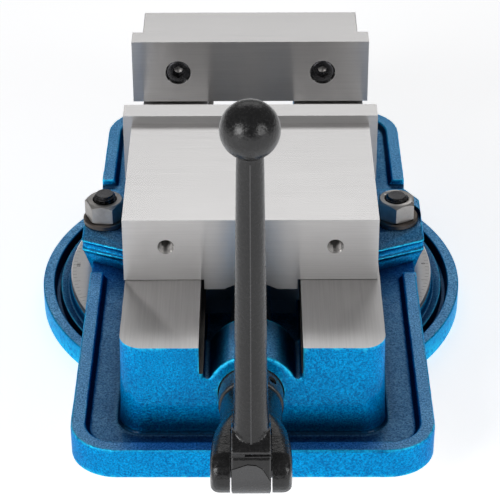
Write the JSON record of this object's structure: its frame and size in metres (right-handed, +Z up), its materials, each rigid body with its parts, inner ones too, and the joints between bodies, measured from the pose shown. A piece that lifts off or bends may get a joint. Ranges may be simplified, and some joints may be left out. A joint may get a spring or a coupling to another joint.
{
  "type": "milling vise on a swivel base",
  "caption": "Angle-lock machine vise with ground steel jaws on a cast bed, a graduated swivel base and a folding crank.",
  "frame": {"origin": "centre of the swivel axis at the underside of the swivel base", "axes": "+Z up, +Y along the bed from the crank to the fixed jaw, +X to the right of someone at the crank"},
  "size_m": [0.2756, 0.4728, 0.286],
  "materials": {
    "blue_enamel": "glossy enamel over rough casting",
    "ground_steel": "surface ground",
    "black_enamel": "semi-gloss enamel over casting",
    "blackened_steel": "oil blackened",
    "nut_steel": "machined",
    "bright_steel": "turned and polished",
    "bronze": "turned",
    "cast_iron": "machined"
  },
  "bodies": {
    "base": {"swivel_base": "blue_enamel"},
    "body": {"vise_body": "blue_enamel", "pivot_pin": "bright_steel", "fixed_jaw": "ground_steel", "fixed_jaw_plate": "ground_steel", "fixed_plate_screw_left": "blackened_steel", "fixed_plate_screw_right": "blackened_steel", "fixed_jaw_bolt_left": "blackened_steel", "fixed_jaw_bolt_right": "blackened_steel", "fixed_jaw_key_left": "bright_steel", "fixed_jaw_key_right": "bright_steel", "t_bolt_left": "blackened_steel", "t_bolt_right": "blackened_steel", "clamp_washer_left": "blackened_steel", "clamp_washer_right": "blackened_steel", "front_race": "bright_steel", "collar_washer": "bronze"},
    "jaw": {"movable_jaw": "ground_steel", "movable_jaw_plate": "ground_steel", "movable_plate_screw_left": "blackened_steel", "movable_plate_screw_right": "blackened_steel", "jaw_nut": "cast_iron", "lock_segment": "bright_steel", "lock_set_screw": "blackened_steel"},
    "screw": {"lead_screw": "bright_steel", "screw_end_clip": "blackened_steel", "thrust_collar": "black_enamel", "collar_set_screw": "blackened_steel", "rear_race": "bright_steel", "crank_hub": "black_enamel", "hub_set_screw": "blackened_steel", "handle_pin": "blackened_steel"},
    "bearing": {"thrust_cage": "bronze", "bearing_ball_01": "bright_steel", "bearing_ball_02": "bright_steel", "bearing_ball_03": "bright_steel", "bearing_ball_04": "bright_steel", "bearing_ball_05": "bright_steel", "bearing_ball_06": "bright_steel", "bearing_ball_07": "bright_steel", "bearing_ball_08": "bright_steel", "bearing_ball_09": "bright_steel", "bearing_ball_10": "bright_steel", "bearing_ball_11": "bright_steel", "bearing_ball_12": "bright_steel"},
    "crank": {"handle_arm": "black_enamel", "ball_knob": "black_enamel"},
    "nut_left": {"clamp_nut_left": "nut_steel"},
    "nut_right": {"clamp_nut_right": "nut_steel"}
  },
  "joints": [
    {"name": "swivel", "type": "hinge", "parent": "base", "child": "body", "pos_m": [0, 0, 0.0228], "axis": [0, 0, 1], "continuous": true},
    {"name": "screw_turn", "type": "hinge", "parent": "body", "child": "screw", "pos_m": [0, -0.2043, 0.065], "axis": [0, 1, 0], "range_deg": [-4680, 6516]},
    {"name": "jaw_slide", "type": "slide", "parent": "body", "child": "jaw", "axis": [0, 1, 0], "range_m": [-0.0651, 0.0906]},
    {"name": "bearing_turn", "type": "hinge", "parent": "body", "child": "bearing", "pos_m": [0, -0.2043, 0.065], "axis": [0, 1, 0], "range_deg": [-2350, 3268]},
    {"name": "crank_fold", "type": "hinge", "parent": "screw", "child": "crank", "pos_m": [0, -0.2728, 0.065], "axis": [1, 0, 0], "range_deg": [0, 100]},
    {"name": "nut_left_turn", "type": "hinge", "parent": "body", "child": "nut_left", "pos_m": [-0.095, 0, 0.066], "axis": [0, 0, 1], "range_deg": [0, 360]},
    {"name": "nut_right_turn", "type": "hinge", "parent": "body", "child": "nut_right", "pos_m": [0.095, 0, 0.066], "axis": [0, 0, 1], "range_deg": [0, 360]}
  ],
  "couplings": [
    {"joint": "jaw_slide", "follows": "screw_turn", "m_per_rad": 0.00079577},
    {"joint": "bearing_turn", "follows": "screw_turn", "ratio": 0.5}
  ]
}
